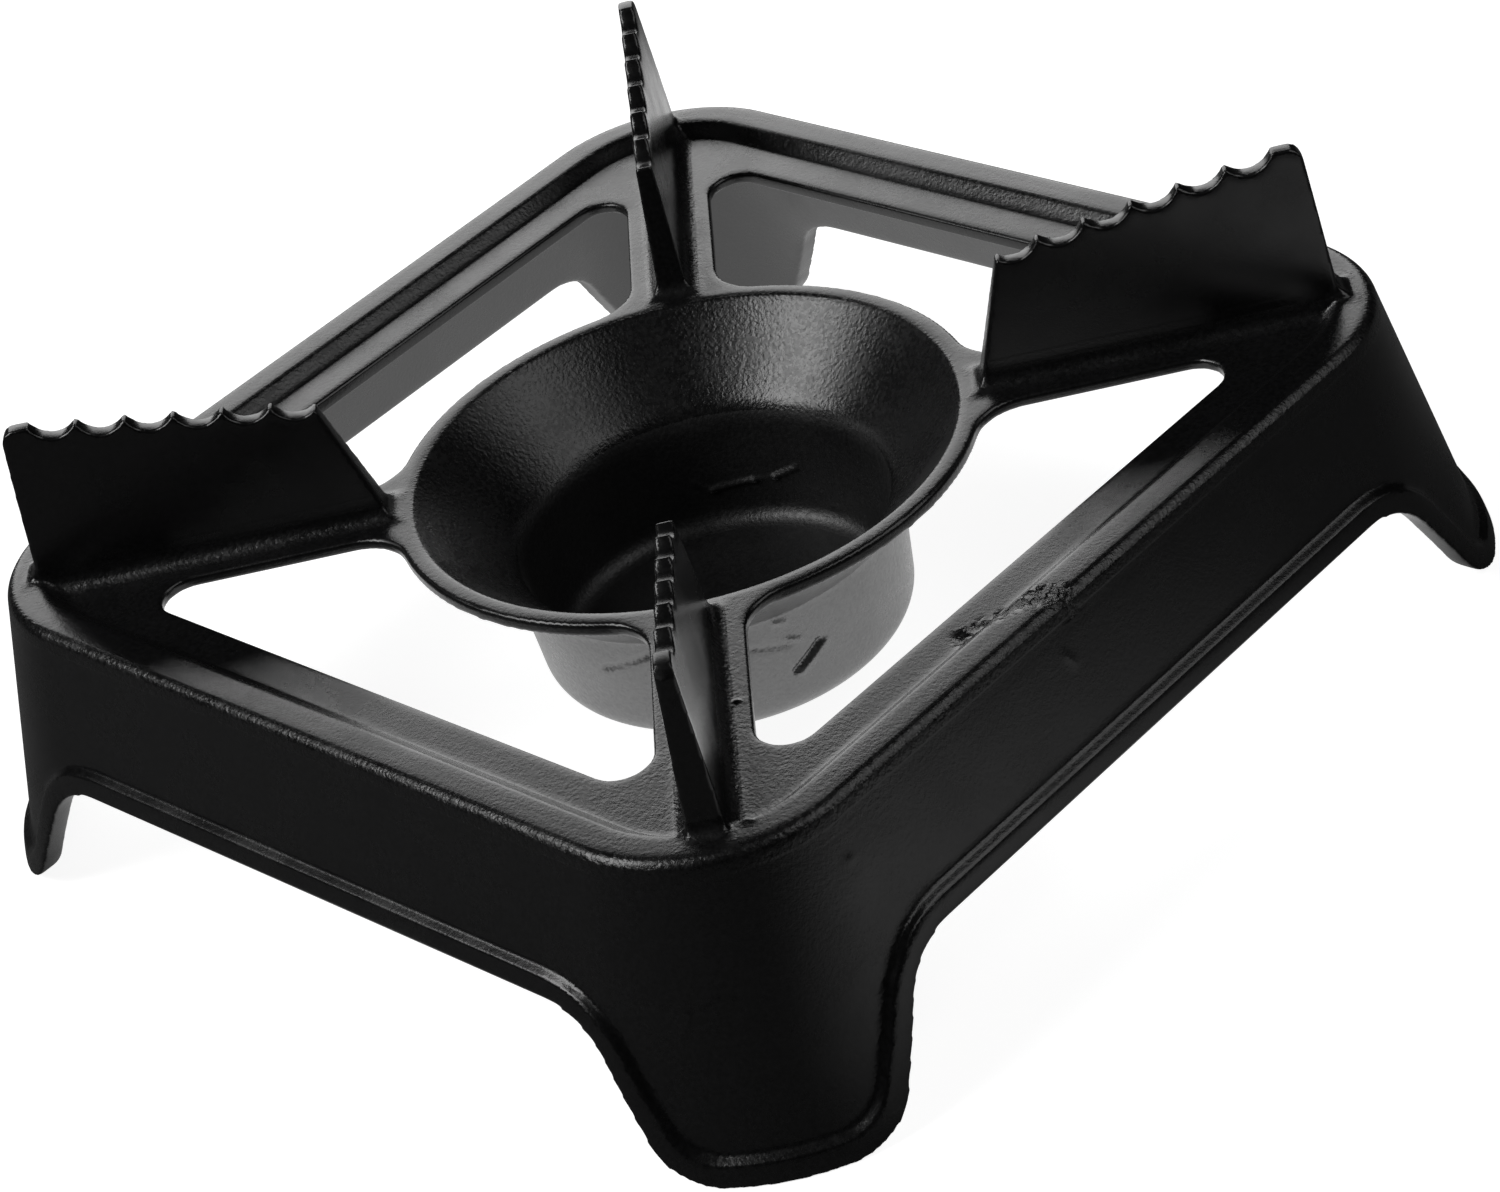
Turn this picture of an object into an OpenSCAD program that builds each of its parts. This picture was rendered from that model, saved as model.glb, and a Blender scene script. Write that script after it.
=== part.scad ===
// Square cast-iron burner stand: four flared legs and arched aprons carry a rimmed
// frame, and four diagonal arms hold a round ring with a fuel bowl and toothed pot fins.
// The object is one casting. Each node is one change of section of that casting, and
// neighbouring nodes meet face to face. Origin: centre of the footprint, on the floor.

/* [Overall] */
// Width the flared skirt would have over its beads if it ran on down to the floor
foot_w = 199; // [190:1:214]
// Width over the rim at its top
rim_w = 173; // [166:0.5:180]
// Height of the rim's crest above the floor
rim_h = 49.5; // [46:0.5:58]
// Plan radius of the rim's outer corners
rim_r = 26; // [23:0.5:29]

/* [Skirt] */
// Thickness of the sloping skirt wall, level
wall_t = 3; // [2.4:0.1:3.6]
// How far the edge bead stands out from the skirt
bead_t = 1.5; // [0.8:0.1:2]
// Width of the edge bead along the lower edge
bead_w = 4; // [3:0.1:5]
// Height of the arches' straight edge above the floor
arch_h = 24; // [20:0.5:28]
// Length of the arches' straight edge
arch_w = 104; // [90:1:108]
// Radius where an arch turns down into a leg
arch_r = 13; // [12:0.5:17]
// Radius where a leg turns in to its foot
toe_r = 13.5; // [11:0.5:16]
// Angle of the edge between those two radii, from level
arch_angle = 60; // [60:1:80]

/* [Frame] */
// Height of the rim's crest above the deck
lip_h = 2.4; // [1:0.1:3]
// Width of the rim's level crest
lip_crest_w = 4.8; // [2.5:0.1:5.5]
// Width of the slope from the crest down to the deck
lip_slope_w = 2.6; // [2:0.1:4]
// Radius of the rim's outer edge
lip_edge_r = 1.2; // [0.6:0.1:1.6]
// Thickness of the deck
deck_t = 2.4; // [1.8:0.1:3]
// Width of a rail, from the rim's outer edge to the window
rail_w = 15.7; // [14:0.1:17]
// Radius of the windows' outer corners
window_r = 5; // [3:0.1:6]

/* [Ring and arms] */
// Bore of the ring
ring_id = 90; // [86:0.5:94]
// Width of the ring's flat top
ring_w = 3; // [2:0.1:4]
// Thickness of the ring
ring_t = 2.4; // [1.8:0.1:3]
// Width of an arm
arm_w = 15; // [12:0.1:18]
// Thickness of an arm
arm_t = 2; // [1.6:0.1:2.4]
// Radius where an arm flares into the ring
arm_fillet_r = 9; // [4:0.1:10]

/* [Bowl] */
// Depth of the flared part, from the ring's top
flare_h = 14; // [11:0.1:17]
// Bore of the fuel cup where the flare ends
cup_id = 60.5; // [58:0.1:68]
// Depth of the whole bowl inside, from the ring's top
bowl_depth = 34.1; // [30:0.1:38]
// Thickness of the bowl
bowl_t = 2.4; // [1.8:0.1:3]
// Draft of the cup's wall, in degrees
cup_draft = 5; // [2:0.1:7]
// Outer radius of the cup's bottom edge
cup_edge_r = 6; // [4:0.1:8]

/* [Pot fins] */
// Distance from the centre to a fin's inner end, at its top
fin_in = 55; // [52:0.5:58]
// Distance from the centre to a fin's outer end, at its top
fin_out = 104; // [98:0.5:108]
// Height of a fin's outer crest above the deck
fin_h = 29.4; // [20:0.1:34]
// Rise of the toothed edge towards the outer end, in degrees
fin_rise = 9; // [5:0.05:10]
// Slope of the inner end, from upright
fin_in_slope = 17; // [10:0.5:20]
// Slope of the outer end, from upright
fin_out_slope = 4.7; // [0:0.1:8]
// Thickness of a fin at its toothed edge
fin_t = 2.7; // [2:0.1:3.5]
// Draft of each side of a fin, in degrees
fin_draft = 3.2; // [1:0.1:4]
// Number of scoops in the toothed edge
scoops = 6; // [3:1:6]
// Distance between scoops
scoop_pitch = 7.6; // [7.4:0.1:7.8]
// Radius of a scoop
scoop_r = 4.2; // [3.4:0.1:4.4]
// Depth of a scoop below the crests
scoop_d = 2.1; // [1:0.1:2.2]
// Length of the level crest at the outer end
crest_w = 4.4; // [3:0.1:6]
// Radius of the outer top corner
fin_corner_r = 2.2; // [1.5:0.1:3]
// Radius of the fillet along the fin's foot
root_r = 3; // [2:0.1:4]

/* [Hidden] */
$fn = 96;

// Arcs stand this little proud of the edges that they join, so that the two cross at a
// clear angle instead of grazing
snug = 0.995;
iron = [0.1, 0.1, 0.105];
iron_light = [0.16, 0.16, 0.165];
big = 300;
deck_z = rim_h - lip_h;
rail_z = deck_z - deck_t;                       // underside of the rails, top of the skirt
corner_c = rim_w / 2 - rim_r;                   // centre of the corner arcs, in X and in Y
draft = (foot_w / 2 - bead_t - rim_w / 2) / rim_h;   // outward run of the skirt per mm down
window_d = rim_r - rail_w;                      // window edge, from the corner centre line
window_y = corner_c + window_d;                 // window edge, from the middle of the stand
arm_h = arm_w / 2;
ring_r = ring_id / 2 + ring_w;

// Distance of the skirt's outer face from the corner centre line, at a height
function skirt_d(z) = rim_r + draft * (rim_h - z);

// ---- places: the same four sides and four corners serve every repeated piece ----
module side(n) { rotate([0, 0, 90 * n]) children(); }      // 0 front, 1 right, 2 back, 3 left
module corner(n) { rotate([0, 0, 90 * n]) children(); }    // 0 front left, 1 front right, ...

// A section drawn as (distance out, height) runs straight along the front side ...
module run_straight() {
  translate([-corner_c, -corner_c, 0]) rotate([90, 0, 90]) mirror([1, 0, 0])
    linear_extrude(2 * corner_c) children();
}

// ... and turns round the front left corner
module run_corner() {
  translate([-corner_c, -corner_c, 0]) rotate([0, 0, 180])
    rotate_extrude(angle = 90) children();
}

// What has to come off a sharp corner to round it: the wedge between two edge normals,
// beyond a circle about the given centre
module corner_waste(centre, r, from, to) {
  mid = (from + to) / 2;
  translate(centre) difference() {
    polygon([
      [0, 0], 2 * r * [cos(from), sin(from)],
      2 * r / cos(to - mid) * [cos(mid), sin(mid)], 2 * r * [cos(to), sin(to)]
    ]);
    circle(r);
  }
}

// ---- skirt: aprons and legs ----
module skirt_section(out) {
  polygon([
    [skirt_d(0) - wall_t, 0], [skirt_d(0) + out, 0],
    [skirt_d(rail_z) + out, rail_z], [skirt_d(rail_z) - wall_t, rail_z]
  ]);
}

// The opening under one side, seen square on, grown by e. The arc at each end of the
// straight edge turns down by arch_angle, and a second arc brings the edge to the floor.
toe_z = snug * toe_r;
arch_reach = snug * (arch_r + toe_r);
arch_drop = arch_h - toe_z - arch_r + arch_reach * cos(arch_angle);
toe_x = arch_w / 2 + arch_reach * sin(arch_angle) + arch_drop / tan(arch_angle);
module arch_half(e) {
  cut_r = arch_r + e;
  heel_r = toe_r - e;
  slant_in = snug * cut_r * [sin(arch_angle), cos(arch_angle)];
  slant_out = snug * heel_r * [sin(arch_angle), cos(arch_angle)];
  difference() {
    union() {
      translate([arch_w / 2, arch_h - arch_r]) circle(cut_r);
      polygon([
        [-1, arch_h + e], [arch_w / 2, arch_h + e], [arch_w / 2, arch_h - arch_r],
        [arch_w / 2, arch_h - arch_r] + slant_in, [toe_x, toe_z] - slant_out,
        [toe_x, toe_z], [toe_x, -big], [-1, -big]
      ]);
    }
    translate([toe_x, toe_z]) circle(heel_r);
  }
}

module arch(e) {
  arch_half(e);
  mirror([1, 0]) arch_half(e);
  if (e > 0) translate([-big, -big]) square([2 * big, big + e]);
}

// The arch cut under the front side, through everything in front of the middle
module arch_cut(e) { rotate([90, 0, 0]) linear_extrude(big) arch(e); }

module apron() {
  difference() {
    union() {
      run_straight() skirt_section(0);
      intersection() {
        run_straight() skirt_section(bead_t);
        arch_cut(bead_w);
      }
    }
    arch_cut(0);
  }
}

module leg() {
  difference() {
    union() {
      run_corner() skirt_section(0);
      intersection() {
        run_corner() skirt_section(bead_t);
        union() { arch_cut(bead_w); side(-1) arch_cut(bead_w); }
      }
    }
    arch_cut(0);
    side(-1) arch_cut(0);
  }
}

// ---- frame: rails with their rim, and the corners that join them ----
edge_z = rim_h - snug * lip_edge_r;
edge_d = skirt_d(edge_z) - snug * lip_edge_r * sqrt(1 + draft * draft);
crest_d = rim_r - lip_edge_r - lip_crest_w;
module rail_section() {
  difference() {
    polygon([
      [window_d, rail_z], [skirt_d(rail_z), rail_z], [skirt_d(rim_h), rim_h],
      [crest_d, rim_h], [crest_d - lip_slope_w, deck_z], [window_d, deck_z]
    ]);
    corner_waste([edge_d, edge_z], lip_edge_r, atan(draft), 90);
  }
}

module rail() { run_straight() rail_section(); }
module corner_piece() { run_corner() rail_section(); }

// ---- windows: the four openings between the rails, the arms and the ring ----
// Half of the front window. All corners are arcs tangent to the edges that they join.
arm_x = arm_h * sqrt(2);                        // half an arm's width, measured along X
w_out = [window_y - arm_x - window_r * (1 + sqrt(2)), window_y - window_r];
fillet_d = ring_r + arm_fillet_r;               // centre of the inner fillet, from the middle
fillet_s = arm_h + arm_fillet_r;                // ... and from the arm's centre line
fillet_a = 45 - asin(fillet_s / fillet_d);
w_in = fillet_d * [sin(fillet_a), cos(fillet_a)];
module window_half() {
  translate([w_out[0], -w_out[1]]) circle(window_r);
  translate([w_in[0], -w_in[1]]) circle(arm_fillet_r);
  polygon([
    [0, -window_y], [w_out[0], -window_y], [w_out[0], -w_out[1]],
    [w_out[0] + window_r / sqrt(2), -w_out[1] + window_r / sqrt(2)],
    [w_in[0] + arm_fillet_r / sqrt(2), -w_in[1] + arm_fillet_r / sqrt(2)],
    [w_in[0], -w_in[1]],
    [ring_r * sin(fillet_a), -ring_r * cos(fillet_a)], [0, -ring_r * cos(fillet_a)]
  ]);
}

module window() {
  window_half();
  mirror([1, 0]) window_half();
}

// The arm to the front left corner, in plan: what the two windows beside it and the ring
// leave of that quarter
module arm_plan() {
  difference() {
    union() {
      translate([-window_y, -corner_c]) square([window_y, corner_c]);
      translate([-corner_c, -window_y]) square([corner_c, window_y]);
      translate([-corner_c, -corner_c]) circle(window_d);
    }
    window();
    rotate(-90) window();
    circle(ring_r);
  }
}

module arm() { translate([0, 0, deck_z - arm_t]) linear_extrude(arm_t) arm_plan(); }

// ---- ring and bowl ----
flare_run = (ring_id - cup_id) / 2 / flare_h;   // inward run of the flare per mm down
function flare_r(depth) = ring_id / 2 - flare_run * depth;
module ring() {
  translate([0, 0, deck_z]) rotate_extrude()
    polygon([[flare_r(0), 0], [ring_r, 0], [ring_r, -ring_t], [flare_r(ring_t), -ring_t]]);
}

flare_wall = bowl_t * sqrt(1 + flare_run * flare_run);   // the flare's wall, measured level
module flare() {
  translate([0, 0, deck_z]) rotate_extrude()
    polygon([
      [flare_r(ring_t), -ring_t], [min(flare_r(ring_t) + flare_wall, ring_r), -ring_t],
      [flare_r(flare_h) + flare_wall, -flare_h], [flare_r(flare_h), -flare_h]
    ]);
}

// The cup's outline, drawn as (radius, height): a drafted wall with a round bottom edge.
// top_r is its radius at the flare's lower end
module cup_outline(top_r, floor_z, edge_r) {
  wall_x = top_r - tan(cup_draft) * (floor_z - flare_h);
  edge_x = wall_x - snug * edge_r * tan(45 - cup_draft / 2);
  difference() {
    polygon([
      [-1, 1], [top_r + tan(cup_draft) * (flare_h + 1), 1],
      [wall_x, -floor_z], [-1, -floor_z]
    ]);
    corner_waste([edge_x, snug * edge_r - floor_z], edge_r, -90, -cup_draft);
  }
}

// Where the flare's outer face runs out on the cup's outer face
cup_r = flare_r(flare_h) + bowl_t / cos(cup_draft);
join_z = flare_h + (flare_wall - bowl_t / cos(cup_draft)) / (flare_run - tan(cup_draft));
join_r = cup_r - tan(cup_draft) * (join_z - flare_h);
module cup_section() {
  intersection() {
    difference() {
      union() {
        cup_outline(cup_r, bowl_depth + bowl_t, cup_edge_r);
        polygon([
          [flare_r(flare_h) + 1, -flare_h], [flare_r(flare_h) + flare_wall, -flare_h],
          [join_r, -join_z], [flare_r(flare_h) + 1, -join_z]
        ]);
      }
      cup_outline(flare_r(flare_h), bowl_depth, cup_edge_r - bowl_t);
    }
    translate([0, -big]) square([big, big - flare_h]);
  }
}

module fuel_cup() { translate([0, 0, deck_z]) rotate_extrude() cup_section(); }

// ---- pot fins ----
// A fin is what its side view and its two drafted faces have in common. It is drawn along +X,
// from the middle of the stand outward, with the deck at height 0.

// Height of the sloping line of the crests at a distance from the centre
function crest_z(r) = fin_h - (fin_out - crest_w - r) * tan(fin_rise);

// Centre of scoop n, counted inward from the outer end
function scoop_at(n) = fin_out - crest_w - (n + 0.5) * scoop_pitch;
function scoop_c(n) = [scoop_at(n), crest_z(scoop_at(n))]
  + (scoop_r - scoop_d) * [-sin(fin_rise), cos(fin_rise)];

// A fillet in the angle between the deck and a face that leans in by slope from its foot.
// way is 1 where the fillet lies to the right of the face, and -1 where it lies to the left
function fillet_c(foot, slope, way) = [foot + way * snug * root_r * tan(45 - slope / 2), snug * root_r];
function fillet_end(foot, slope, way) = fillet_c(foot, slope, way)
  - snug * root_r * [way * cos(slope), sin(slope)];

// Side view. The innermost scoop runs out in the inner end. The outer end stands on the rim,
// so its fillet lies at the height of the rim.
module fin_side() {
  in_foot = fin_in - crest_z(fin_in) * tan(fin_in_slope);
  out_foot = fin_out + (fin_h - lip_h) * tan(fin_out_slope);
  in_c = fillet_c(in_foot, fin_in_slope, -1);
  out_c = fillet_c(out_foot, fin_out_slope, 1) + [0, lip_h];
  difference() {
    polygon([
      [in_c[0], 0], [out_c[0], 0], out_c,
      fillet_end(out_foot, fin_out_slope, 1) + [0, lip_h],
      [fin_out, fin_h], [fin_out - crest_w, fin_h], [fin_in, crest_z(fin_in)],
      fillet_end(in_foot, fin_in_slope, -1), in_c
    ]);
    translate(in_c) circle(root_r);
    translate(out_c) circle(root_r);
    corner_waste([fin_out - snug * fin_corner_r, fin_h - snug * fin_corner_r],
      fin_corner_r, fin_out_slope, 90);
    for (n = [0 : scoops - 1]) translate(scoop_c(n)) circle(scoop_r);
  }
}

// One drafted face. The thickness is the same all along the line of the crests, which rises
// outward, so the face's foot runs at a small angle to the arm.
face_run = sin(fin_rise) * tan(fin_draft);
face_turn = atan(face_run);
face_slope = atan(cos(fin_rise) * tan(fin_draft) * cos(face_turn));
module fin_face() {
  foot = (fin_t / 2 + crest_z(0) * cos(fin_rise) * tan(fin_draft)) * cos(face_turn);
  c = fillet_c(foot, face_slope, 1);
  rotate([0, 0, face_turn]) rotate([90, 0, 90]) linear_extrude(big) difference() {
    polygon([
      [-big, 0], [c[0], 0], c, fillet_end(foot, face_slope, 1),
      [foot - 2 * fin_h * tan(face_slope), 2 * fin_h], [-big, 2 * fin_h]
    ]);
    translate(c) circle(root_r);
  }
}

// A fin along the arm to the front left corner, standing on the deck and on the rim
module fin() {
  difference() {
    rotate([0, 0, 225]) translate([0, 0, deck_z]) intersection() {
      rotate([90, 0, 0]) translate([0, 0, -big / 2]) linear_extrude(big) fin_side();
      fin_face();
      mirror([0, 1, 0]) fin_face();
    }
    corner_piece();
  }
}

// ---- nodes ----
module leg_front_left() { color(iron) corner(0) leg(); }
module leg_front_right() { color(iron) corner(1) leg(); }
module leg_back_right() { color(iron) corner(2) leg(); }
module leg_back_left() { color(iron) corner(3) leg(); }
module apron_front() { color(iron) side(0) apron(); }
module apron_right() { color(iron) side(1) apron(); }
module apron_back() { color(iron) side(2) apron(); }
module apron_left() { color(iron) side(3) apron(); }
module rail_front() { color(iron_light) side(0) rail(); }
module rail_right() { color(iron_light) side(1) rail(); }
module rail_back() { color(iron_light) side(2) rail(); }
module rail_left() { color(iron_light) side(3) rail(); }
module corner_front_left() { color(iron_light) corner(0) corner_piece(); }
module corner_front_right() { color(iron_light) corner(1) corner_piece(); }
module corner_back_right() { color(iron_light) corner(2) corner_piece(); }
module corner_back_left() { color(iron_light) corner(3) corner_piece(); }
module arm_front_left() { color(iron_light) corner(0) arm(); }
module arm_front_right() { color(iron_light) corner(1) arm(); }
module arm_back_right() { color(iron_light) corner(2) arm(); }
module arm_back_left() { color(iron_light) corner(3) arm(); }
module fin_front_left() { color(iron) corner(0) fin(); }
module fin_front_right() { color(iron) corner(1) fin(); }
module fin_back_right() { color(iron) corner(2) fin(); }
module fin_back_left() { color(iron) corner(3) fin(); }
module ring_node() { color(iron_light) ring(); }
module flare_node() { color(iron) flare(); }
module fuel_cup_node() { color(iron) fuel_cup(); }

leg_front_left();
leg_front_right();
leg_back_right();
leg_back_left();
apron_front();
apron_right();
apron_back();
apron_left();
rail_front();
rail_right();
rail_back();
rail_left();
corner_front_left();
corner_front_right();
corner_back_right();
corner_back_left();
arm_front_left();
arm_front_right();
arm_back_right();
arm_back_left();
fin_front_left();
fin_front_right();
fin_back_right();
fin_back_left();
ring_node();  // ring
flare_node();  // flare
fuel_cup_node();  // fuel_cup
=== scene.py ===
import math

import bpy
import numpy as np
from mathutils import Matrix, Vector


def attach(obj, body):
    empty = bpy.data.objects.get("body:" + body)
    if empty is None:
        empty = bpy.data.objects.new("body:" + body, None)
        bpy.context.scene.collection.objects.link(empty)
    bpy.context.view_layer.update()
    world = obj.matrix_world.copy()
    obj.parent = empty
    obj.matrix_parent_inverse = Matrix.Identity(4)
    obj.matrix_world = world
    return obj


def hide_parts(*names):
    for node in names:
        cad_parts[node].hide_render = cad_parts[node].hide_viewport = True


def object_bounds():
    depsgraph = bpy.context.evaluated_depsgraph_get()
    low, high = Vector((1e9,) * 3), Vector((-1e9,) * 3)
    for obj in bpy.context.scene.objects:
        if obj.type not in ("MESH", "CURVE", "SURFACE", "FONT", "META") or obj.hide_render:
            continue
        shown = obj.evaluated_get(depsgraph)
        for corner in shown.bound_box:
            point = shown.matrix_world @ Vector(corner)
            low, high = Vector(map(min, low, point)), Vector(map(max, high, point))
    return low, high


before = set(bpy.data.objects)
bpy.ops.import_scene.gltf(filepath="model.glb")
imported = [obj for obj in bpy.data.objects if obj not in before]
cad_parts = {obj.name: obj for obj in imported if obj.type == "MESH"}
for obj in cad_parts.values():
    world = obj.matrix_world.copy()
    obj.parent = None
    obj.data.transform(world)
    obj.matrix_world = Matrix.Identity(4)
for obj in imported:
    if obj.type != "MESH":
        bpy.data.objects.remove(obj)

cad_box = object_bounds()

# The casting is worked on in millimetres. The stage, the lamps and the camera are in metres.
MM = 0.001
TINY = 1e-9

# ---- sizes of the casting that the looks need ----
# a name that ends in _D is measured outwards from the lines through the middles of the corner arcs
CORNER_C = 60.5        # middle of the corner arcs, in X and in Y
RIM_Z = 49.5           # crest of the rim
DECK_Z = 47.1          # top of the deck, the arms and the ring
RAIL_Z = 44.7          # underside of the rails, top of the skirt
FLARE_Z = 33.1         # where the flare ends and the cup begins
WINDOW_D = 10.3        # edge of the windows
SLOPE_D = 19.0         # on the rim's slope, between a fin's foot on the deck and on the rim
SKIRT_D = 24.0         # inner face of the skirt at its top
RIM_R = 26.0           # outer edge of the rim, as a _D and as the corners' radius
DRAFT = 0.2323         # slope of the skirt's outer face
RAIL_SAG = 1.2         # how far under RAIL_Z a face inside SKIRT_D is still a rail's
RING_R = 48.0          # outer radius of the ring
MOUTH_R = 30.25        # radius of the edge between the flare's cone and the cup
FLARE_TILT = 0.759     # rise of the cone, in radians
CUP_TILT = 0.0873      # draft of the cup's wall, in radians
OUTER_R = 60.0         # the bowl is nearer the centre than this, the skirt and the legs farther
FIN_IN = 45.5          # a fin and its fillets lie between these distances from the centre
FIN_OUT = 110.0
FIN_DECK_HALF = 5.2    # half width of a fin's foot on the deck, with its fillets
FIN_RIM_HALF = 3.6     # half width of its foot on the rim
FIN_SINK_HALF = 3.0    # half width of its body where it goes into the rim
FIN_CLEAR = 6.5        # above the rim, a fin is where |x| and |y| differ by less than this

# ---- how the skin is made ----
VOXEL = 0.4            # width of the skin's squares
PUSH = 0.03            # how far the solids are swollen, so that neighbours melt together
SMOOTH_STEPS = 5
EDGE_STEPS = 7         # more of it for the skirt and its arches
CALM_STEPS = 4
ALIKE = 0.985          # cosine above which two normals are evened out
EDGE_ROUND = 2.2       # rounding of the rim's outer edge
MOUTH_ROUND = 7.5      # rounding of the edge between the flare and the cup

# ---- marks that the mould left, each from one point to another ----
# first point, second point, depth (with a minus it stands proud), half width
MARKS = [
    ((28.4, -13.5, 20.2), (30.6, -8.9, 23.9), 0.55, 0.42),      # groove in the cup
    ((28.7, -12.4, 19.5), (30.9, -7.9, 23.2), -0.50, 0.55),     # and its burr
    ((29.0, -13.8, 26.9), (29.9, -12.0, 25.9), -0.35, 0.45),    # lumps beside it
    ((28.6, -15.4, 31.0), (29.3, -14.0, 30.4), -0.40, 0.60),
    ((25.9, -19.1, 27.4), (29.0, -13.6, 25.6), 0.25, 0.50),     # creases in the cup
    ((5.2, -31.6, 25.8), (14.1, -29.1, 29.5), 0.40, 0.60),
    ((55.3, -48.1, 47.1), (55.6, -47.9, 47.1), -0.45, 0.35),    # raised chip on an arm
    ((74.7, -89.3, 23.0), (76.1, -87.9, 26.0), -0.14, 0.60),    # vein on a leg
    ((76.1, -87.9, 26.0), (79.8, -84.8, 28.0), -0.14, 0.60),
    ((81.2, -83.6, 27.9), (81.4, -83.4, 27.8), -0.16, 0.50),
    ((88.5, -62.7, 40.5), (88.5, -62.5, 40.5), -0.20, 0.50),    # specks on the skirt
    ((88.2, -13.2, 42.2), (88.8, -12.0, 40.0), -0.16, 0.50),
    ((73.6, -73.6, 74.7), (73.4, -73.8, 74.7), -0.40, 0.55),    # drop under a fin's crest
    ((71.9, -76.8, 49.4), (72.5, -76.3, 49.6), -0.60, 0.80),    # lumps at the fins' feet
    ((77.9, -70.6, 49.3), (79.0, -70.0, 49.3), -0.30, 0.50),
    ((74.3, 71.2, 49.2), (77.2, 73.4, 49.6), -0.60, 0.90),
    ((-22.8, 18.3, 21.7), (-20.9, 20.2, 19.6), -0.20, 0.50),    # wavy flow line inside the cup
    ((-20.9, 20.2, 19.6), (-15.0, 25.0, 20.3), -0.50, 0.55),
    ((-15.0, 25.0, 20.3), (-11.7, 26.7, 20.7), -0.20, 0.50),
    ((-11.7, 26.7, 20.7), (-7.8, 28.3, 22.6), -0.50, 0.55),
    ((-4.1, 28.7, 18.5), (-3.6, 28.7, 18.3), -0.35, 0.60),
    ((-1.3, 28.8, 16.4), (-0.6, 28.8, 16.2), -0.35, 0.60),
]
# where the mould's sand broke away, in plan: first point, second point, strength
ROUGH_LINES = [((77.2, -21.0), (81.2, -11.0), 1.0), ((80.5, -12.5), (85.0, -9.0), 0.8)]
ROUGH_HALF = 1.6       # half width
ROUGH_Z = 46.0         # only what is above this is rough

# ---- ends of the nodes' names ----
SIDES = ["front", "right", "back", "left"]
CORNERS = ["front_left", "front_right", "back_right", "back_left"]

# ---- materials: name, colour, refraction, lowest and highest roughness ----
IRON = ("black_iron", (0.005, 0.005, 0.0052), 1.5, 0.20, 0.28)
# painted reflection: the next colour is far lighter than the black iron, to stand for the white floor
# mirrored on the bowl's outside and undersides
CUP_IRON_PAINTED_REFLECTION = ("cup_iron_painted_reflection", (0.09, 0.09, 0.092), 2.3, 0.26, 0.32)
# painted reflection: the next colour is lighter than the black iron, to stand for the floor mirrored on
# the skirt's inside
INNER_IRON_PAINTED_REFLECTION = ("inner_iron_painted_reflection", (0.012, 0.012, 0.0122), 1.75, 0.24, 0.32)
BOWL_IRON = ("bowl_iron", (0.007, 0.007, 0.0072), 1.5, 0.36, 0.46)
# scale and detail of each noise in them
FINE = (4200, 2)
COARSE = (1500, 3)
CLOUDS = (90, 3)
PITS = (650, 4)
MOTTLE = (1300, 2)
BUMP = 0.00009         # metres for one unit of height
FINE_SHARE = 0.2       # height of the fine grain, where the coarse grain's is 1
PIT_DEPTH = -11.0      # of the pits in the rough patch, on the same scale
MOTTLE_ROUGH = 0.08    # roughness that the mottle adds where the grain is strong
DARK = 0.6             # the colour is shaded between these shares of itself
LIGHT = 1.5

# ---- floor ----
FLOOR_HALF = 8.0
FLOOR_GREY = 0.45
FLOOR_GREY_PAINTED_DARK_IN_MIRROR = 0.12  # its grey where the iron mirrors it, darker than its own grey: painted shade in the iron's reflections. The painted glows come on top of that
FLOOR_GLOW = 0.9
# painted reflections: places of the floor that glow white only where the iron mirrors them, no lamp: x,
# y, full within, gone beyond, strength
PAINTED_REFLECTION_GLOWS = [
    (-0.012, 0.012, 0.105, 0.125, 1.0),
    (-0.125, 0.150, 0.030, 0.070, 1.0),
    (0.208, -0.012, 0.030, 0.125, 0.6),
]

# ---- lamps: name, azimuth, elevation, half width and half height in degrees, radiance ----
LAMP_DISTANCE = 1.5
LAMPS = [
    ("softbox_back", 233, 21.5, 24, 16.5, 2.6),
    ("softbox_left", -31, 46, 14, 15, 7.6),
    ("softbox_right", 122, 51, 18, 11, 1.65),
    ("softbox_right_low", 127, 26, 8, 10, 1.8),
]
WORLD_LEVEL = 0.003

# ---- camera ----
CAMERA_PLACE = (0.44925, -0.36318, 0.39659)
CAMERA_ANGLES = (50.666, 33.382, -15.222)      # azimuth, elevation and roll, in degrees
CAMERA_LENS = 101.555
SENSOR_WIDTH = 36


# ---- meshes as arrays ----
def vertex_normals(points, corners):
    """Area-weighted normals of a mesh given as points and triangles or quads."""
    a, b, c = points[corners[:, 0]], points[corners[:, 1]], points[corners[:, 2]]
    d = points[corners[:, -1]]
    face = np.cross(c - a, d - b) if corners.shape[1] == 4 else np.cross(b - a, c - a)
    total = np.zeros_like(points)
    for k in range(corners.shape[1]):
        for axis in range(3):
            total[:, axis] += np.bincount(corners[:, k], face[:, axis], len(points))
    length = np.linalg.norm(total, axis=1, keepdims=True)
    return total / np.maximum(length, 1e-12)


def edges_of(quads):
    """The two ends of every edge, each edge once."""
    edges = np.vstack([quads[:, [k, (k + 1) % 4]] for k in range(4)])
    edges = np.unique(np.sort(edges, axis=1), axis=0)
    return edges[:, 0], edges[:, 1]


def neighbour_sum(values, a, b, weight=1.0):
    """The weighted sum of each point's neighbours, over the edges from a to b."""
    total = np.empty_like(values)
    for axis in range(3):
        line = values[:, axis]
        total[:, axis] = (np.bincount(a, weight * line[b], len(values))
                          + np.bincount(b, weight * line[a], len(values)))
    return total


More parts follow.
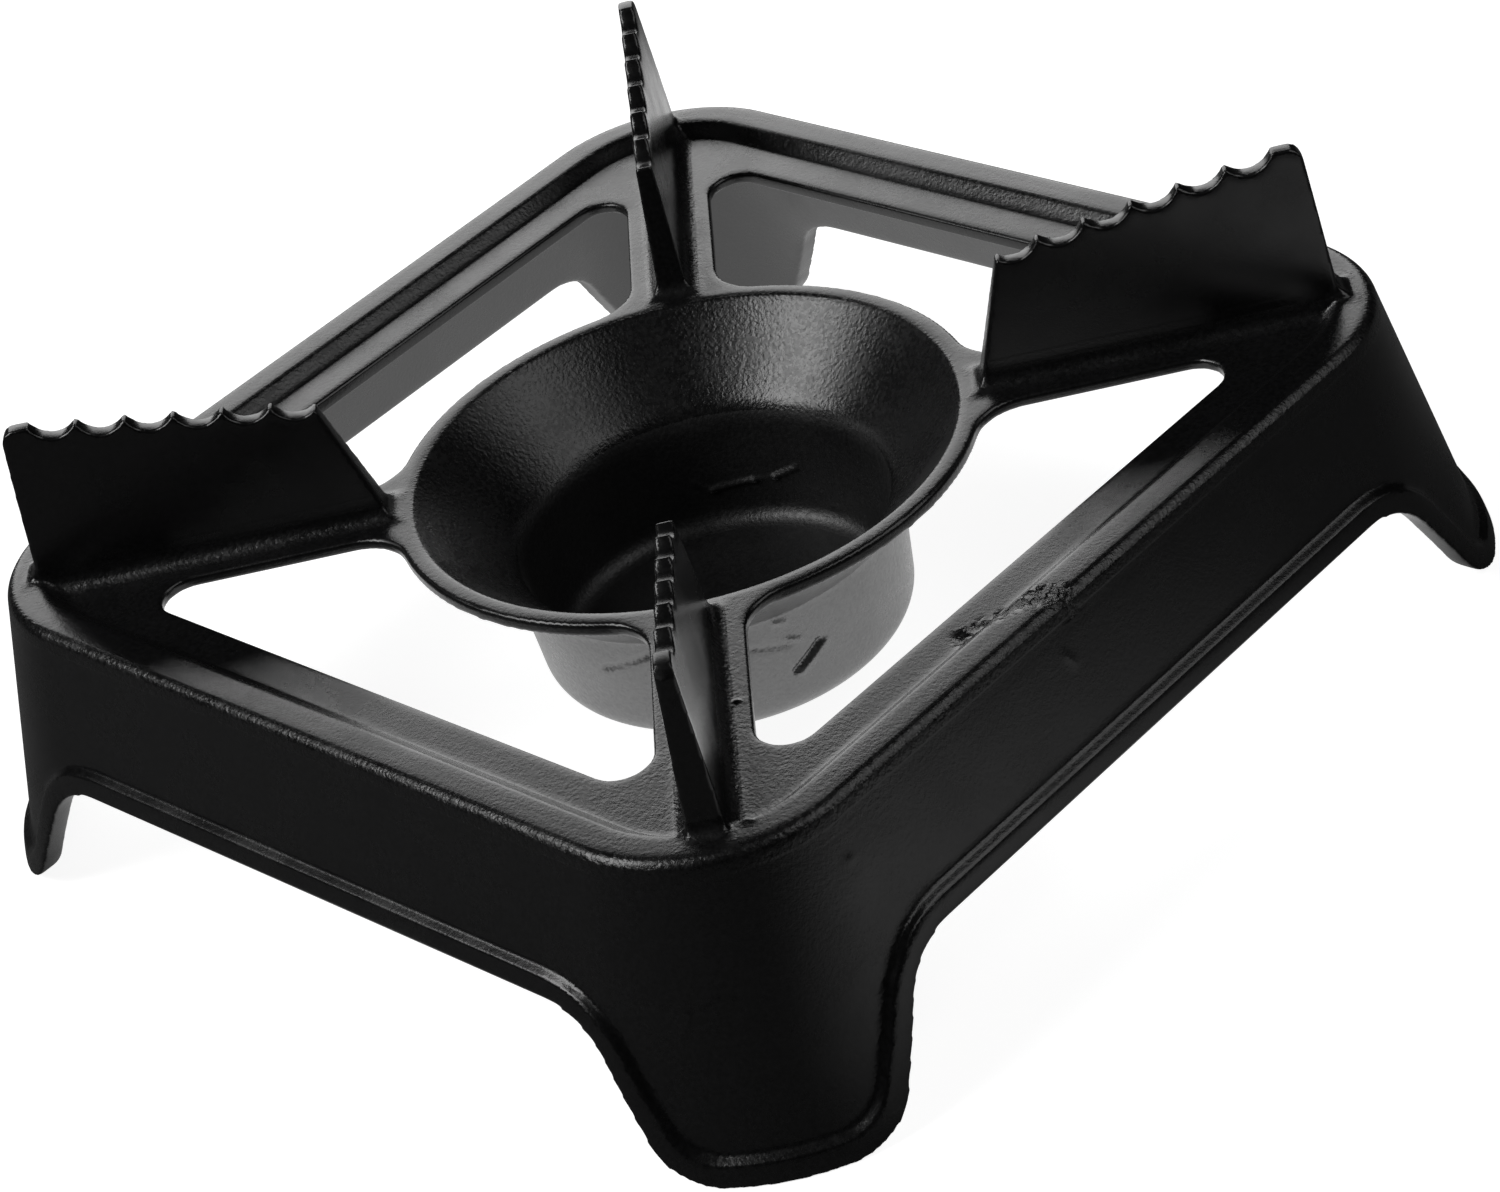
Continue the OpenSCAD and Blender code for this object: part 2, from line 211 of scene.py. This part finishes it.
def welded(mesh):
    """Points in millimetres and triangles of a CAD node, with its split points joined."""
    co = np.empty(len(mesh.vertices) * 3)
    mesh.vertices.foreach_get("co", co)
    co = co.reshape(-1, 3) / MM
    mesh.calc_loop_triangles()
    tri = np.empty(len(mesh.loop_triangles) * 3, np.int64)
    mesh.loop_triangles.foreach_get("vertices", tri)
    microns = np.round(co * 1000).astype(np.int64)
    found = np.unique(microns, axis=0, return_index=True, return_inverse=True)
    first, index = found[1], found[2].reshape(-1)
    tri = index[tri].reshape(-1, 3)
    return co[first], tri


def make_mesh(name, points, faces):
    """A Blender mesh from points in millimetres and faces with the same number of corners."""
    mesh = bpy.data.meshes.new(name)
    size = faces.shape[1]
    mesh.vertices.add(len(points))
    mesh.vertices.foreach_set("co", (points * MM).astype(np.float32).ravel())
    mesh.loops.add(faces.size)
    mesh.loops.foreach_set("vertex_index", faces.astype(np.int32).ravel())
    mesh.polygons.add(len(faces))
    mesh.polygons.foreach_set("loop_start", np.arange(0, faces.size, size, dtype=np.int32))
    mesh.update(calc_edges=True)
    mesh.validate()
    return mesh


def add_object(name, data):
    item = bpy.data.objects.new(name, data)
    bpy.context.scene.collection.objects.link(item)
    return item


# ---- measures of a point ----
def corner_distance(points):
    """How far each point stands outside the lines through the middles of the corner arcs."""
    dx, dy = abs(points[:, 0]) - CORNER_C, abs(points[:, 1]) - CORNER_C
    return np.where((dx > 0) & (dy > 0), np.hypot(dx, dy), np.maximum(dx, dy))


def diagonal_distance(points):
    """How far each point stands from the nearer diagonal, in plan."""
    return abs(abs(points[:, 0]) - abs(points[:, 1])) / math.sqrt(2)


def line_distance(points, start, end):
    """How far each point stands from the stretch between two points."""
    a, b = np.array(start), np.array(end)
    along = np.clip((points - a) @ (b - a) / ((b - a) @ (b - a)), 0, 1)
    return np.linalg.norm(points - a - along[:, None] * (b - a), axis=1)


def bell(value, middle, half_width):
    """1 at the middle, falling smoothly to 0.37 at the half width."""
    return np.exp(-((value - middle) / half_width) ** 2)


# ---- the casting's skin ----
def one_casting():
    """Every CAD solid as one closed skin of even squares."""
    points, faces, count = [], [], 0
    for name in sorted(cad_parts):
        co, tri = welded(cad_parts[name].data)
        co = co + PUSH * vertex_normals(co, tri)
        points.append(co)
        faces.append(tri + count)
        count += len(co)
    rough = add_object("casting_rough", make_mesh("casting_rough", np.vstack(points), np.vstack(faces)))
    remesh = rough.modifiers.new("voxels", "REMESH")
    remesh.mode = "VOXEL"
    remesh.voxel_size = VOXEL * MM
    seen = rough.evaluated_get(bpy.context.evaluated_depsgraph_get())
    skin = bpy.data.meshes.new_from_object(seen)
    co = np.empty(len(skin.vertices) * 3)
    skin.vertices.foreach_get("co", co)
    quads = np.empty(len(skin.loops), np.int64)
    skin.loops.foreach_get("vertex_index", quads)
    bpy.data.objects.remove(rough)
    return co.reshape(-1, 3) / MM, quads.reshape(-1, 4)


def smoothed(points, quads, steps, share=1.0):
    """Rounds the skin: each point moves half way, times its share, to its neighbours' middle."""
    a, b = edges_of(quads)
    degree = np.bincount(a, minlength=len(points)) + np.bincount(b, minlength=len(points))
    for step in range(steps):
        middle = neighbour_sum(points, a, b) / degree[:, None]
        points = points + 0.5 * share * (middle - points)
    return points


def low_share(points):
    """1 on the skirt and the legs, 0 on the frame and the bowl."""
    share = np.clip((RAIL_Z - 2 - points[:, 2]) / 3, 0, 1)
    share *= np.hypot(points[:, 0], points[:, 1]) > OUTER_R
    return share[:, None]


def softened_edge(points):
    """Rolls the outer edge of the rim over a wider round than the solid's."""
    d = corner_distance(points)
    tilt = math.atan(DRAFT)
    middle_d = RIM_R - EDGE_ROUND * (1 - math.sin(tilt)) / math.cos(tilt)
    middle_z = RIM_Z - EDGE_ROUND
    out, up = d - middle_d, points[:, 2] - middle_z
    reach = np.hypot(out, up)
    angle = np.arctan2(up, out)
    ax, ay = abs(points[:, 0]), abs(points[:, 1])
    free = (abs(ax - ay) > FIN_CLEAR) | (points[:, 2] < RIM_Z + 0.1)
    beyond = (angle > tilt) & (angle < math.pi / 2) & (reach > EDGE_ROUND) & free
    pull = np.where(beyond, EDGE_ROUND / np.maximum(reach, TINY) - 1, 0)
    at_corner = (ax > CORNER_C) & (ay > CORNER_C)
    to_x = np.where(at_corner, (ax - CORNER_C) / np.maximum(d, TINY), ax > ay)
    to_y = np.where(at_corner, (ay - CORNER_C) / np.maximum(d, TINY), ay >= ax)
    moved = points.copy()
    moved[:, 0] += pull * out * to_x * np.sign(points[:, 0])
    moved[:, 1] += pull * out * to_y * np.sign(points[:, 1])
    moved[:, 2] += pull * up
    return moved


def softened_mouth(points):
    """Rolls the edge where the flare's cone turns down into the cup over a wide round."""
    r = np.hypot(points[:, 0], points[:, 1])
    cone = np.array((-math.sin(FLARE_TILT), math.cos(FLARE_TILT)))
    wall = np.array((-math.cos(CUP_TILT), math.sin(CUP_TILT)))
    middle = np.array((MOUTH_R, FLARE_Z)) - MOUTH_ROUND * (cone + wall) / (1 + cone @ wall)
    out, up = r - middle[0], points[:, 2] - middle[1]
    reach = np.hypot(out, up)
    between = (wall[0] * up - wall[1] * out < 0) & (cone[0] * up - cone[1] * out > 0)
    share = np.where(between & (reach > MOUTH_ROUND), MOUTH_ROUND / np.maximum(reach, TINY), 1)
    moved = points.copy()
    moved[:, :2] *= ((middle[0] + out * share) / np.maximum(r, TINY))[:, None]
    moved[:, 2] = middle[1] + up * share
    return moved


def marked(points, quads):
    """Presses each mark into the skin, or raises it, along the skin's normals."""
    normals = vertex_normals(points, quads)
    moved = points.copy()
    for start, end, depth, half_width in MARKS:
        strength = bell(line_distance(points, start, end), 0, half_width)
        moved -= depth * strength[:, None] * normals
    return moved


def calm(normals, quads, steps):
    """Evens out the normals between neighbours that already look nearly the same way."""
    a, b = edges_of(quads)
    for step in range(steps):
        alike = np.clip((normals[a] * normals[b]).sum(axis=1) - ALIKE, 0, None) / (1 - ALIKE)
        total = 0.5 * normals + neighbour_sum(normals, a, b, alike)
        normals = total / np.linalg.norm(total, axis=1, keepdims=True)
    return normals


def casting_skin():
    """The finished skin: melted together, rounded, marked and kept inside the CAD's box."""
    points, quads = one_casting()
    points = smoothed(points, quads, SMOOTH_STEPS)
    points = smoothed(points, quads, EDGE_STEPS, low_share(points))
    points = points - PUSH * vertex_normals(points, quads)
    points = softened_edge(points)
    points = softened_mouth(points)
    points = marked(points, quads)
    low, high = (np.array(corner) / MM for corner in cad_box)
    return np.clip(points, low, high), quads


# ---- what differs from place to place on the skin ----
def node_names(centre):
    """The node that each face centre belongs to, as an array of names."""
    x, y, z = centre.T
    ax, ay, r = abs(x), abs(y), np.hypot(x, y)
    at_corner = (ax > CORNER_C) & (ay > CORNER_C)
    d = corner_distance(centre)
    off = diagonal_distance(centre)
    side = np.where(ay > ax, np.where(y < 0, 0, 2), np.where(x > 0, 1, 3))
    corner = np.where(y < 0, np.where(x < 0, 0, 1), np.where(x > 0, 2, 3))
    side_name = np.array(SIDES)[side]
    corner_name = np.array(CORNERS)[corner]

    def of(kind, place):
        return np.char.add(kind + "_", place)

    frame_name = np.where(at_corner, of("corner", corner_name), of("rail", side_name))
    on_deck = np.where(d > WINDOW_D, frame_name, of("arm", corner_name))
    skirt = np.where(at_corner, of("leg", corner_name), of("apron", side_name))
    below = (z < RAIL_Z) & ((d > SKIRT_D) | (z < RAIL_Z - RAIL_SAG))
    name = np.where(below, skirt, on_deck)
    bowl = np.where(z > RAIL_Z, "ring", np.where(z > FLARE_Z, "flare", "fuel_cup"))
    name = np.where(r < RING_R, bowl, name)
    foot_half = np.where(d > SLOPE_D, FIN_RIM_HALF, FIN_DECK_HALF)
    fin = (z > DECK_Z + 0.1) & (off < foot_half) & (r > FIN_IN) & (r < FIN_OUT)
    fin &= (d < SLOPE_D) | (z > RIM_Z + 0.15) | (off < FIN_SINK_HALF)
    return np.where(fin, of("fin", corner_name), name)


def grain_of(points):
    """How strong the cast grain is at each point, from 0 to 1.5."""
    x, y, z = points.T
    d = corner_distance(points)
    off = diagonal_distance(points)
    r = np.hypot(x, y)
    on_top = (z > RAIL_Z) & (z < RIM_Z + 0.5)
    on_edge = (z > 46.5) & (z < RIM_Z - 0.15)
    on_slope = (z > DECK_Z + 0.2) & (z < RIM_Z - 0.2)
    by_fins = (r > 46) & (r < 109)
    in_bowl = (r < 45.6) & (z > FLARE_Z - 20) & (z < DECK_Z - 0.2)
    from_near_corner = np.hypot(x - 60, y + 60)

    grain = np.full(len(points), 0.35)
    grain[z > RIM_Z + 2] = 0.08                                      # the fins
    grain += bell(d, RIM_R, 1.6) * on_edge
    grain += 0.5 * bell(d, 19.5, 1.8) * on_slope
    grain += 0.6 * bell(from_near_corner, 0, 24) * on_top
    grain += 0.7 * bell(off, 3.6, 1.5) * on_top * by_fins            # along the fins' feet
    grain += 0.75 * in_bowl
    grain += 0.4 * (z < 5)                                           # the stand's own feet
    return np.clip(grain, 0, 1.5)


def rough_of(points):
    """Where the sand of the mould broke away and left a rough patch, from 0 to 1."""
    patch = np.zeros(len(points))
    for start, end, strength in ROUGH_LINES:
        away = line_distance(points[:, :2], start, end)
        patch = np.maximum(patch, strength * bell(away, 0, ROUGH_HALF))
    return patch * (points[:, 2] > ROUGH_Z)


# ---- the pieces ----
def add_map(mesh, name, values):
    held = mesh.attributes.new(name, "FLOAT", "POINT")
    held.data.foreach_set("value", values.astype(np.float32))


def dress(points, quads):
    """One piece for each node, shaded with the normals of the whole skin."""
    normals = calm(vertex_normals(points, quads), quads, CALM_STEPS)
    names = node_names(points[quads].mean(axis=1))
    grain = grain_of(points)
    rough = rough_of(points)
    pieces = []
    for node in sorted(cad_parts):
        own = quads[names == node]
        used, index = np.unique(own, return_inverse=True)
        mesh = make_mesh("cast_" + node, points[used], index.reshape(-1, 4))
        mesh.normals_split_custom_set_from_vertices(normals[used])
        add_map(mesh, "grain", grain[used])
        add_map(mesh, "rough_patch", rough[used])
        piece = add_object("cast_" + node, mesh)
        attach(piece, "root")
        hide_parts(node)
        pieces.append(piece)
    return pieces


def add_second(piece, material, way):
    """Another material for the faces that look away from the middle, or with way -1 towards it."""
    mesh = piece.data
    mesh.materials.append(material)
    count = len(mesh.polygons)
    middle = np.empty(count * 3)
    mesh.polygons.foreach_get("center", middle)
    facing = np.empty(count * 3)
    mesh.polygons.foreach_get("normal", facing)
    middle, facing = middle.reshape(-1, 3), facing.reshape(-1, 3)
    outward = (middle[:, :2] * facing[:, :2]).sum(axis=1)
    chosen = outward * way > 0
    if way > 0:
        chosen |= facing[:, 2] < -0.5
    mesh.polygons.foreach_set("material_index", chosen.astype(np.int32))


def paint(pieces):
    """Black iron, a duller one in the cup, and lighter ones on the bowl's outside and the skirt's
    inside: their lighter colour is a painted reflection of the floor.
    """
    iron, cup_iron_painted_reflection, inner_iron_painted_reflection, bowl_iron = (
        iron_material(*sort) for sort in (IRON, CUP_IRON_PAINTED_REFLECTION, INNER_IRON_PAINTED_REFLECTION, BOWL_IRON))
    for piece in pieces:
        piece.data.materials.append(bowl_iron if piece.name == "cast_fuel_cup" else iron)
        # the bowl's outside and undersides get the lighter iron, a painted reflection of the floor
        if piece.name in ("cast_flare", "cast_fuel_cup"):
            add_second(piece, cup_iron_painted_reflection, 1)
        # the skirt's inner faces get a lighter iron, a painted reflection of the floor
        if piece.name.startswith(("cast_apron", "cast_leg")):
            add_second(piece, inner_iron_painted_reflection, -1)


# ---- materials ----
class Graph:
    """A material's nodes, with short ways to add the kinds that are used here."""

    def __init__(self, name):
        self.material = bpy.data.materials.new(name)
        self.material.use_nodes = True
        self.nodes = self.material.node_tree.nodes
        self.links = self.material.node_tree.links
        self.inputs = self.nodes["Principled BSDF"].inputs
        self.place = self.nodes.new("ShaderNodeTexCoord").outputs["Object"]

    def noise(self, scale, detail):
        texture = self.nodes.new("ShaderNodeTexNoise")
        texture.inputs["Scale"].default_value = scale
        texture.inputs["Detail"].default_value = detail
        self.links.new(self.place, texture.inputs["Vector"])
        return texture.outputs["Fac"]

    def spread(self, value, from_low, from_high, to_low, to_high):
        ramp = self.nodes.new("ShaderNodeMapRange")
        for socket, number in (("From Min", from_low), ("From Max", from_high),
                               ("To Min", to_low), ("To Max", to_high)):
            ramp.inputs[socket].default_value = number
        self.links.new(value, ramp.inputs["Value"])
        return ramp.outputs["Result"]

    def combine(self, operation, first, second):
        """Joins a value with another one, or with a plain number."""
        node = self.nodes.new("ShaderNodeMath")
        node.operation = operation
        self.links.new(first, node.inputs[0])
        if isinstance(second, float):
            node.inputs[1].default_value = second
        else:
            self.links.new(second, node.inputs[1])
        return node.outputs["Value"]

    def attribute(self, name):
        node = self.nodes.new("ShaderNodeAttribute")
        node.attribute_name = name
        return node.outputs["Fac"]

    def distance_from(self, x, y):
        node = self.nodes.new("ShaderNodeVectorMath")
        node.operation = "DISTANCE"
        node.inputs[1].default_value = (x, y, 0.0)
        self.links.new(self.place, node.inputs[0])
        return node.outputs["Value"]


def iron_material(name, colour, ior, rough_low, rough_high):
    """Black coat over cast iron: fine grain, coarser where the mould was, and faint clouds."""
    graph = Graph(name)
    graph.inputs["IOR"].default_value = ior
    grain = graph.attribute("grain")
    patch = graph.attribute("rough_patch")
    coarse = graph.noise(*COARSE)

    rough = graph.spread(graph.noise(*CLOUDS), 0.35, 0.65, rough_low, rough_high)
    mottle = graph.spread(graph.noise(*MOTTLE), 0.4, 0.65, 0.0, MOTTLE_ROUGH)
    rough = graph.combine("ADD", rough, graph.combine("MULTIPLY", mottle, grain))
    graph.links.new(rough, graph.inputs["Roughness"])

    shade = graph.nodes.new("ShaderNodeMix")
    shade.data_type = "RGBA"
    shade.inputs["A"].default_value = tuple(DARK * c for c in colour) + (1,)
    shade.inputs["B"].default_value = tuple(LIGHT * c for c in colour) + (1,)
    graph.links.new(graph.spread(coarse, 0.3, 0.7, 0.0, 1.0), shade.inputs["Factor"])
    graph.links.new(shade.outputs["Result"], graph.inputs["Base Color"])

    cast = graph.combine("MULTIPLY", coarse, grain)
    fine = graph.combine("MULTIPLY", graph.noise(*FINE), FINE_SHARE)
    pits = graph.spread(graph.noise(*PITS), 0.42, 0.56, PIT_DEPTH, 0.0)
    pits = graph.combine("MULTIPLY", pits, patch)
    height = graph.combine("ADD", graph.combine("ADD", cast, fine), pits)
    bump = graph.nodes.new("ShaderNodeBump")
    bump.inputs["Strength"].default_value = 1.0
    bump.inputs["Distance"].default_value = BUMP
    graph.links.new(height, bump.inputs["Height"])
    graph.links.new(bump.outputs["Normal"], graph.inputs["Normal"])
    return graph.material


def floor_material():
    """White, and a little self-lit where it is seen, so that it stays pale in the shade. Where the iron
    mirrors it, it is painted darker and glows at given places: painted shade and painted reflections.
    """
    graph = Graph("white_floor")
    graph.inputs["Roughness"].default_value = 0.9
    graph.inputs["Specular IOR Level"].default_value = 0.0
    graph.inputs["Emission Color"].default_value = (1, 1, 1, 1)
    rays = graph.nodes.new("ShaderNodeLightPath").outputs
    # painted shade: glossy rays see the floor darker than it is
    grey = graph.spread(rays["Is Glossy Ray"], 0.0, 1.0, FLOOR_GREY, FLOOR_GREY_PAINTED_DARK_IN_MIRROR)
    graph.links.new(grey, graph.inputs["Base Color"])

    # painted reflections: the floor glows at those places only for glossy rays
    painted_reflections = None
    for x, y, full, none, strength in PAINTED_REFLECTION_GLOWS:
        glow = graph.spread(graph.distance_from(x, y), full, none, strength, 0.0)
        painted_reflections = glow if painted_reflections is None else graph.combine("MAXIMUM", painted_reflections, glow)
    painted_reflections = graph.combine("MULTIPLY", rays["Is Glossy Ray"], painted_reflections)
    seen = graph.combine("MAXIMUM", rays["Is Camera Ray"], painted_reflections)
    seen = graph.combine("MAXIMUM", seen, rays["Is Transmission Ray"])
    level = graph.combine("MULTIPLY", seen, FLOOR_GLOW)
    graph.links.new(level, graph.inputs["Emission Strength"])
    return graph.material


# ---- stage ----
def add_floor():
    half = FLOOR_HALF
    corners = [(-half, -half, 0), (half, -half, 0), (half, half, 0), (-half, half, 0)]
    mesh = bpy.data.meshes.new("floor")
    mesh.from_pydata(corners, [], [(0, 1, 2, 3)])
    floor = add_object("floor", mesh)
    mesh.materials.append(floor_material())


def direction(azimuth, elevation):
    """The way from the stand to a place, both angles in radians."""
    return Vector((math.sin(azimuth) * math.cos(elevation),
                   -math.cos(azimuth) * math.cos(elevation), math.sin(elevation)))


def add_softbox(name, azimuth, elevation, half_width, half_height, radiance):
    """An area lamp aimed at the stand. Its place and its half sizes are in degrees."""
    width = 2 * LAMP_DISTANCE * math.tan(math.radians(half_width))
    height = 2 * LAMP_DISTANCE * math.tan(math.radians(half_height))
    out = direction(math.radians(azimuth), math.radians(elevation))
    lamp = bpy.data.lights.new(name, "AREA")
    lamp.shape = "RECTANGLE"
    lamp.size = width
    lamp.size_y = height
    lamp.energy = math.pi * radiance * width * height
    box = add_object(name, lamp)
    box.location = out * LAMP_DISTANCE
    box.rotation_mode = "QUATERNION"
    box.rotation_quaternion = out.to_track_quat("Z", "Y")


def add_world(level):
    world = bpy.data.worlds.new("studio")
    world.use_nodes = True
    world.node_tree.nodes["Background"].inputs["Color"].default_value = (level,) * 3 + (1,)
    bpy.context.scene.world = world


def add_camera():
    azimuth, elevation, roll = (math.radians(angle) for angle in CAMERA_ANGLES)
    back = direction(azimuth, elevation)
    level = Vector((math.cos(azimuth), math.sin(azimuth), 0))
    rise = back.cross(level)
    right = math.cos(roll) * level + math.sin(roll) * rise
    up = math.cos(roll) * rise - math.sin(roll) * level
    data = bpy.data.cameras.new("camera")
    data.sensor_width = SENSOR_WIDTH
    data.lens = CAMERA_LENS
    camera = add_object("camera", data)
    turn = Matrix((right, up, back)).transposed()
    camera.matrix_world = Matrix.Translation(Vector(CAMERA_PLACE)) @ turn.to_4x4()
    bpy.context.scene.camera = camera


# ---- the scene ----
add_camera()
paint(dress(*casting_skin()))
add_floor()
for softbox in LAMPS:
    add_softbox(*softbox)
add_world(WORLD_LEVEL)
bpy.context.scene.view_settings.view_transform = "Standard"
